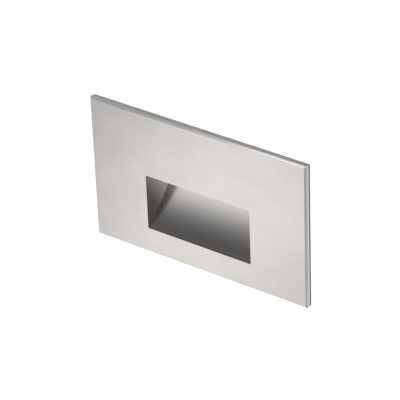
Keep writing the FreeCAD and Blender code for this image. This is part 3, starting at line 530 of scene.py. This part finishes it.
def roundedLoop(low, high, radius, count):
    # a rectangle with round corners: each quarter circle is shifted out to its own corner
    turn = np.linspace(0.0, 0.5 * math.pi, count)
    quarters = np.arange(4)[:, None] * 0.5 * math.pi + turn[None, :]
    half = (np.array(high) - np.array(low)) / 2.0 - radius
    shift = np.array([(1, 1), (-1, 1), (-1, -1), (1, -1)])[:, None, :] * half
    circle = np.stack([np.cos(quarters), np.sin(quarters)], -1) * radius
    return (shift + circle).reshape(-1, 2) + (np.array(high) + np.array(low)) / 2.0


def stacked(flat, level):
    # rows of outlines in X and Y, each row at its own level
    return np.concatenate([flat, np.broadcast_to(level[:, None, None], flat.shape[:2] + (1,))], -1)


# flat names the two axes that a gasket lies in, the lands are its widths at the low and the high side
moulding = {"ease": 0.01 * mm, "cornerSteps": 16, "sectionSteps": 28, "power": 4.0}
gaskets = {
    "housing_gasket": {"flat": (0, 2), "corner": 3.0 * mm, "innerCorner": 1.4 * mm,
                       "landLow": (1.6 * mm, 1.6 * mm), "landHigh": (1.6 * mm, 2.6 * mm)},
    "cover_gasket": {"flat": (0, 2), "corner": 3.0 * mm, "innerCorner": 4.5 * mm,
                     "landLow": (1.6 * mm, 1.6 * mm), "landHigh": (1.6 * mm, 2.0 * mm)},
    "lens_gasket": {"flat": (0, 1), "corner": 3.6 * mm, "innerCorner": 3.2 * mm,
                    "landLow": (1.4 * mm, 1.4 * mm), "landHigh": (1.4 * mm, 1.4 * mm)},
    "gland_seal": {"flat": (0, 2), "corner": 4.6 * mm, "innerCorner": 3.4 * mm,
                   "landLow": (1.2 * mm, 1.2 * mm), "landHigh": (1.2 * mm, 1.2 * mm)},
}


def buildGasket(node, look):
    # the soft section is carried between two rounded rectangles, a land apart on each side
    low, high = (np.array(corner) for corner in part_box(node))
    flatAxes = list(look["flat"])
    deepAxis = 3 - sum(flatAxes)
    ease, steps = moulding["ease"], moulding["cornerSteps"]
    outer = roundedLoop(low[flatAxes], high[flatAxes], look["corner"] - ease, steps)
    inner = roundedLoop(low[flatAxes] + look["landLow"], high[flatAxes] - look["landHigh"],
                        look["innerCorner"] - ease, steps)
    section = softSection(moulding["sectionSteps"], moulding["power"])
    flat, level = carried(outer, inner, low[deepAxis], high[deepAxis], section)
    rings = np.empty(flat.shape[:2] + (3,))
    rings[..., flatAxes] = flat
    rings[..., deepAxis] = level
    closedSkin(node + "_moulded", rings, node, loop=True, sharp=60.0)


for node, look in gaskets.items():
    buildGasket(node, look)


# silicone strip behind the plate: three sides and two short returns, with a slightly uneven outer edge
wallStrip = {"width": 3.0 * mm, "drainHalf": 44.3 * mm, "step": 1.0 * mm, "uneven": 0.08 * mm,
             "longWave": 410.0, "shortWave": 1130.0, "sectionSteps": 32, "power": 12.0}


def buildWallStrip(node, look):
    # the path runs along the rim and turns square corners, where the width is mitred; the outer edge
    # draws in by a sum of two sines of the length run, kept between 0 and 1
    low, high = (np.array(corner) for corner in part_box(node))
    x, z = high[0], (low[2], high[2])
    outerCorners = np.array([(-look["drainHalf"], z[0]), (-x, z[0]), (-x, z[1]), (x, z[1]), (x, z[0]),
                             (look["drainHalf"], z[0])])
    width = look["width"]
    innerCorners = outerCorners + width * np.array([(0, 1), (1, 1), (1, -1), (-1, -1), (-1, 1), (0, 1)])
    runs = np.linalg.norm(np.diff(outerCorners, axis=0), axis=1)
    stops = np.concatenate([[0.0], np.cumsum(runs)])
    along = np.unique(np.concatenate([np.arange(0.0, stops[-1], look["step"]), stops]))
    outer = np.stack([np.interp(along, stops, outerCorners[:, k]) for k in range(2)], -1)
    inner = np.stack([np.interp(along, stops, innerCorners[:, k]) for k in range(2)], -1)
    wobble = 0.5 + 0.25 * np.sin(along * look["longWave"]) + 0.25 * np.sin(along * look["shortWave"] + 1.0)
    outer = outer + (inner - outer) / width * (look["uneven"] * wobble)[:, None]
    section = softSection(look["sectionSteps"], look["power"])
    flat, level = carried(outer, inner, low[1], high[1], section)
    rings = np.stack([flat[..., 0], level, flat[..., 1]], -1)
    closedSkin("wall_strip", rings, node, sharp=50.0)


buildWallStrip("wall_gasket", wallStrip)


# pad under the roof: a thin slab whose outline and edge are both rounded
thermalPad = {"corner": 1.0 * mm, "cornerSteps": 8, "rows": 15, "power": 6.0}


def buildPad(node, look):
    # each row is the outline drawn in by the edge's roundness, from the lower face's middle to the upper
    low, high = (np.array(corner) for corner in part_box(node))
    outline = roundedLoop(low[:2], high[:2], look["corner"], look["cornerSteps"])
    middle = (low + high)[:2] / 2.0
    swing = np.linspace(-0.5 * math.pi, 0.5 * math.pi, look["rows"] + 2)[1:-1]
    rise = np.sign(np.sin(swing)) * np.abs(np.sin(swing)) ** (2.0 / look["power"])
    inset = (1.0 - np.cos(swing) ** (2.0 / look["power"])) * (high[2] - low[2])
    span = (high - low)[:2] / 2.0
    share = (span[None, :] - inset[:, None]) / span[None, :]
    flat = middle + (outline - middle)[None, :, :] * share[:, None, :]
    level = (low[2] + high[2]) / 2.0 + (high[2] - low[2]) / 2.0 * rise
    closedSkin(node + "_soft", stacked(flat, level), node, sharp=50.0)


buildPad("thermal_pad", thermalPad)
print("gaskets, strip and pad moulded")


# light-emitting fill in each package's cup, slightly domed
ledFill = {"wall": 0.40 * mm, "corner": 0.35 * mm, "cornerSteps": 6, "rows": 9, "back": 0.94,
           "depth": 0.24 * mm, "below": 0.05 * mm, "dome": 0.04 * mm}


def buildLedFill(node, look):
    # rows shrink from the rim to the middle while the level follows a parabola; the first row is the back
    low, high = (np.array(corner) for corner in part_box(node))
    rim = roundedLoop(low[:2] + look["wall"], high[:2] - look["wall"], look["corner"], look["cornerSteps"])
    middle = (low + high)[:2] / 2.0
    share = np.concatenate([[look["back"]], np.cos(np.linspace(0.0, 0.5 * math.pi, look["rows"]))[:-1]])
    level = low[2] + look["below"] - look["dome"] * (1.0 - share ** 2)
    level[0] = low[2] + look["below"] + look["depth"]
    flat = middle + (rim - middle)[None, :, :] * share[:, None, None]
    closedSkin(node + "_fill", stacked(flat, level), node, sharp=40.0, slot="led_phosphor", instead=False)


for node in frame["nodes"]:
    if node.removeprefix("led_").isdigit():
        buildLedFill(node, ledFill)
        frame["nodes"][node].data.materials[0] = materials["white_board"]
print("cups filled")


# floor and light: the floor's glow grows along Y from front to back and falls along X from side to end,
# to the right and to the left, and the sky goes from bright to dark between its low and its high level
stageLook = {
    "floorDrop": 0.22, "floorSize": 6.0, "floorColor": (0.88, 0.88, 0.88), "floorRough": 0.9,
    "floorGlow": 0.6, "glowFront": -0.16, "glowBack": -0.02,
    "rightSide": 0.1, "rightEnd": 0.3, "rightLeast": 0.45,
    "leftSide": 0.04, "leftEnd": -0.1, "leftLeast": 0.0,
    "skyAxis": (0.13, 0.0, 1.0), "skyDrop": 3.8, "skyLow": 0.12, "skyHigh": 0.43,
    "skyBright": 1.28, "skyDark": 0.085,
}
lamps = {
    "ceiling": {"place": (0.0, 0.0, 1.3), "aim": (0.0, 0.0, 0.0), "size": 1.4, "power": 12.0},
    "bounce": {"place": (-0.145, -0.243, -0.170), "aim": (0.023, 0.0, 0.006), "size": 0.145, "power": 0.072,
               "color": (1.0, 0.945, 0.87)},
    "rim": {"place": (-0.027, -0.0315, 0.080), "aim": (-0.027, -0.004, 0.0437), "size": 0.15, "depth": 0.016,
            "power": 0.0024},
    "rimEnd": {"place": (0.024, -0.0345, 0.084), "aim": (0.024, -0.004, 0.0437), "size": 0.06, "depth": 0.018,
               "power": 0.0032},
}


def floorPaper(look):
    # pale wherever the camera looks and, for metal and glass, behind the object; open from below
    made = bpy.data.materials.new("floorPaper")
    made.use_nodes = True
    tree = made.node_tree
    shader = tree.nodes["Principled BSDF"]
    shader.inputs["Base Color"].default_value = (*look["floorColor"], 1.0)
    shader.inputs["Roughness"].default_value = look["floorRough"]
    shader.inputs["Specular IOR Level"].default_value = 0.0
    glow = addNode(tree, "ShaderNodeEmission", {"Color": (1.0, 1.0, 1.0, 1.0)})
    path = addNode(tree, "ShaderNodeLightPath")
    direct = addNode(tree, "ShaderNodeMath", {1: look["floorGlow"]}, operation="MULTIPLY")
    mirrored = addNode(tree, "ShaderNodeMath", operation="MAXIMUM")
    mirroredGlow = addNode(tree, "ShaderNodeMath", operation="MULTIPLY")
    place = addNode(tree, "ShaderNodeTexCoord")
    parts = addNode(tree, "ShaderNodeSeparateXYZ")
    behind = addNode(tree, "ShaderNodeMapRange", {
        "From Min": look["glowFront"], "From Max": look["glowBack"],
        "To Min": 0.0, "To Max": look["floorGlow"]}, interpolation_type="SMOOTHSTEP")
    right = addNode(tree, "ShaderNodeMapRange", {
        "From Min": look["rightSide"], "From Max": look["rightEnd"],
        "To Min": 1.0, "To Max": look["rightLeast"]}, interpolation_type="SMOOTHSTEP")
    left = addNode(tree, "ShaderNodeMapRange", {
        "From Min": look["leftEnd"], "From Max": look["leftSide"],
        "To Min": look["leftLeast"], "To Max": 1.0}, interpolation_type="SMOOTHSTEP")
    ends = addNode(tree, "ShaderNodeMath", operation="MULTIPLY")
    spread = addNode(tree, "ShaderNodeMath", operation="MULTIPLY")
    strength = addNode(tree, "ShaderNodeMath", operation="MAXIMUM")
    total = addNode(tree, "ShaderNodeAddShader")
    facing = addNode(tree, "ShaderNodeNewGeometry")
    clear = addNode(tree, "ShaderNodeBsdfTransparent")
    oneSided = addNode(tree, "ShaderNodeMixShader")
    tree.links.new(place.outputs["Object"], parts.inputs[0])
    tree.links.new(parts.outputs["Y"], behind.inputs["Value"])
    tree.links.new(parts.outputs["X"], right.inputs["Value"])
    tree.links.new(parts.outputs["X"], left.inputs["Value"])
    tree.links.new(right.outputs[0], ends.inputs[0])
    tree.links.new(left.outputs[0], ends.inputs[1])
    tree.links.new(behind.outputs[0], spread.inputs[0])
    tree.links.new(ends.outputs[0], spread.inputs[1])
    tree.links.new(path.outputs["Is Camera Ray"], direct.inputs[0])
    tree.links.new(path.outputs["Is Glossy Ray"], mirrored.inputs[0])
    tree.links.new(path.outputs["Is Transmission Ray"], mirrored.inputs[1])
    tree.links.new(mirrored.outputs[0], mirroredGlow.inputs[0])
    tree.links.new(spread.outputs[0], mirroredGlow.inputs[1])
    tree.links.new(direct.outputs[0], strength.inputs[0])
    tree.links.new(mirroredGlow.outputs[0], strength.inputs[1])
    tree.links.new(strength.outputs[0], glow.inputs["Strength"])
    tree.links.new(shader.outputs[0], total.inputs[0])
    tree.links.new(glow.outputs[0], total.inputs[1])
    tree.links.new(facing.outputs["Backfacing"], oneSided.inputs[0])
    tree.links.new(total.outputs[0], oneSided.inputs[1])
    tree.links.new(clear.outputs[0], oneSided.inputs[2])
    tree.links.new(oneSided.outputs[0], tree.nodes["Material Output"].inputs["Surface"])
    return made


def buildFloor(look):
    # one square sheet below the object
    half = look["floorSize"] / 2
    corners = np.array([(-half, -half), (half, -half), (half, half), (-half, half)])
    points = np.column_stack([corners, np.full(4, -look["floorDrop"])])
    mesh = bpy.data.meshes.new("floor")
    mesh.from_pydata(points.tolist(), [], [(0, 1, 2, 3)])
    floor = bpy.data.objects.new("floor", mesh)
    scene.collection.objects.link(floor)
    floor.data.materials.append(floorPaper(look))


def buildSky(look):
    # bright round the horizon and dark overhead, the dark reaching lower to the right: height there counts
    # 1 + drop * x times; the camera itself sees plain white
    world = bpy.data.worlds.new("studio")
    scene.world = world
    world.use_nodes = True
    tree = world.node_tree
    place = addNode(tree, "ShaderNodeTexCoord")
    height = addNode(tree, "ShaderNodeVectorMath", {1: look["skyAxis"]}, operation="DOT_PRODUCT")
    parts = addNode(tree, "ShaderNodeSeparateXYZ")
    right = addNode(tree, "ShaderNodeMath", {1: 0.0}, operation="MAXIMUM")
    slope = addNode(tree, "ShaderNodeMath", {1: look["skyDrop"]}, operation="MULTIPLY")
    lowered = addNode(tree, "ShaderNodeMath", operation="MULTIPLY_ADD")
    rise = addNode(tree, "ShaderNodeMapRange", {
        "From Min": look["skyLow"], "From Max": look["skyHigh"],
        "To Min": look["skyBright"], "To Max": look["skyDark"]}, interpolation_type="SMOOTHSTEP")
    path = addNode(tree, "ShaderNodeLightPath")
    level = addNode(tree, "ShaderNodeMath", operation="MAXIMUM")
    tree.links.new(place.outputs["Generated"], height.inputs[0])
    tree.links.new(place.outputs["Generated"], parts.inputs[0])
    tree.links.new(parts.outputs["X"], right.inputs[0])
    tree.links.new(right.outputs[0], slope.inputs[0])
    tree.links.new(slope.outputs[0], lowered.inputs[0])
    tree.links.new(parts.outputs["Z"], lowered.inputs[1])
    tree.links.new(height.outputs["Value"], lowered.inputs[2])
    tree.links.new(lowered.outputs[0], rise.inputs["Value"])
    tree.links.new(rise.outputs[0], level.inputs[0])
    tree.links.new(path.outputs["Is Camera Ray"], level.inputs[1])
    background = tree.nodes["Background"]
    background.inputs["Color"].default_value = (1.0, 1.0, 1.0, 1.0)
    tree.links.new(level.outputs[0], background.inputs["Strength"])


def buildLamp(name, look):
    # an area lamp turned from its place to its aim
    light = bpy.data.lights.new(name, "AREA")
    light.energy = look["power"]
    light.size = look["size"]
    light.color = look.get("color", (1.0, 1.0, 1.0))
    if "depth" in look:
        light.shape = "RECTANGLE"
        light.size_y = look["depth"]
    lamp = bpy.data.objects.new(name, light)
    away = Vector(look["place"]) - Vector(look["aim"])
    lamp.matrix_world = Matrix.Translation(look["place"]) @ away.to_track_quat("Z", "Y").to_matrix().to_4x4()
    lamp.visible_camera = False
    scene.collection.objects.link(lamp)


buildFloor(stageLook)
buildSky(stageLook)
for name, look in lamps.items():
    buildLamp(name, look)
print("stage: floor, sky and", len(lamps), "lamps")


# camera at the photograph's angle, in degrees from the front, to the right and up
view = {
    "azimuth": 36.596, "elevation": 31.615, "roll": -2.213, "distance": 1.1671,
    "target": (-1.301 * mm, 0.0, 2.985 * mm), "lens": 215.18, "sensor": 36.0, "reach": 50.0,
}


def placeCamera(view):
    # back points from the target to the camera, and roll turns the picture about it
    azimuth, elevation, roll = (math.radians(view[key]) for key in ("azimuth", "elevation", "roll"))
    back = Vector((math.sin(azimuth) * math.cos(elevation), -math.cos(azimuth) * math.cos(elevation),
                   math.sin(elevation)))
    level = Vector((0.0, 0.0, 1.0)).cross(back).normalized()
    upright = back.cross(level)
    right = math.cos(roll) * level + math.sin(roll) * upright
    up = math.cos(roll) * upright - math.sin(roll) * level
    lens = bpy.data.cameras.new("camera")
    lens.lens = view["lens"]
    lens.sensor_width = view["sensor"]
    lens.clip_end = view["reach"]
    camera = bpy.data.objects.new("camera", lens)
    turn = Matrix((right, up, back)).transposed().to_4x4()
    camera.matrix_world = Matrix.Translation(Vector(view["target"]) + back * view["distance"]) @ turn
    scene.collection.objects.link(camera)
    scene.camera = camera


placeCamera(view)
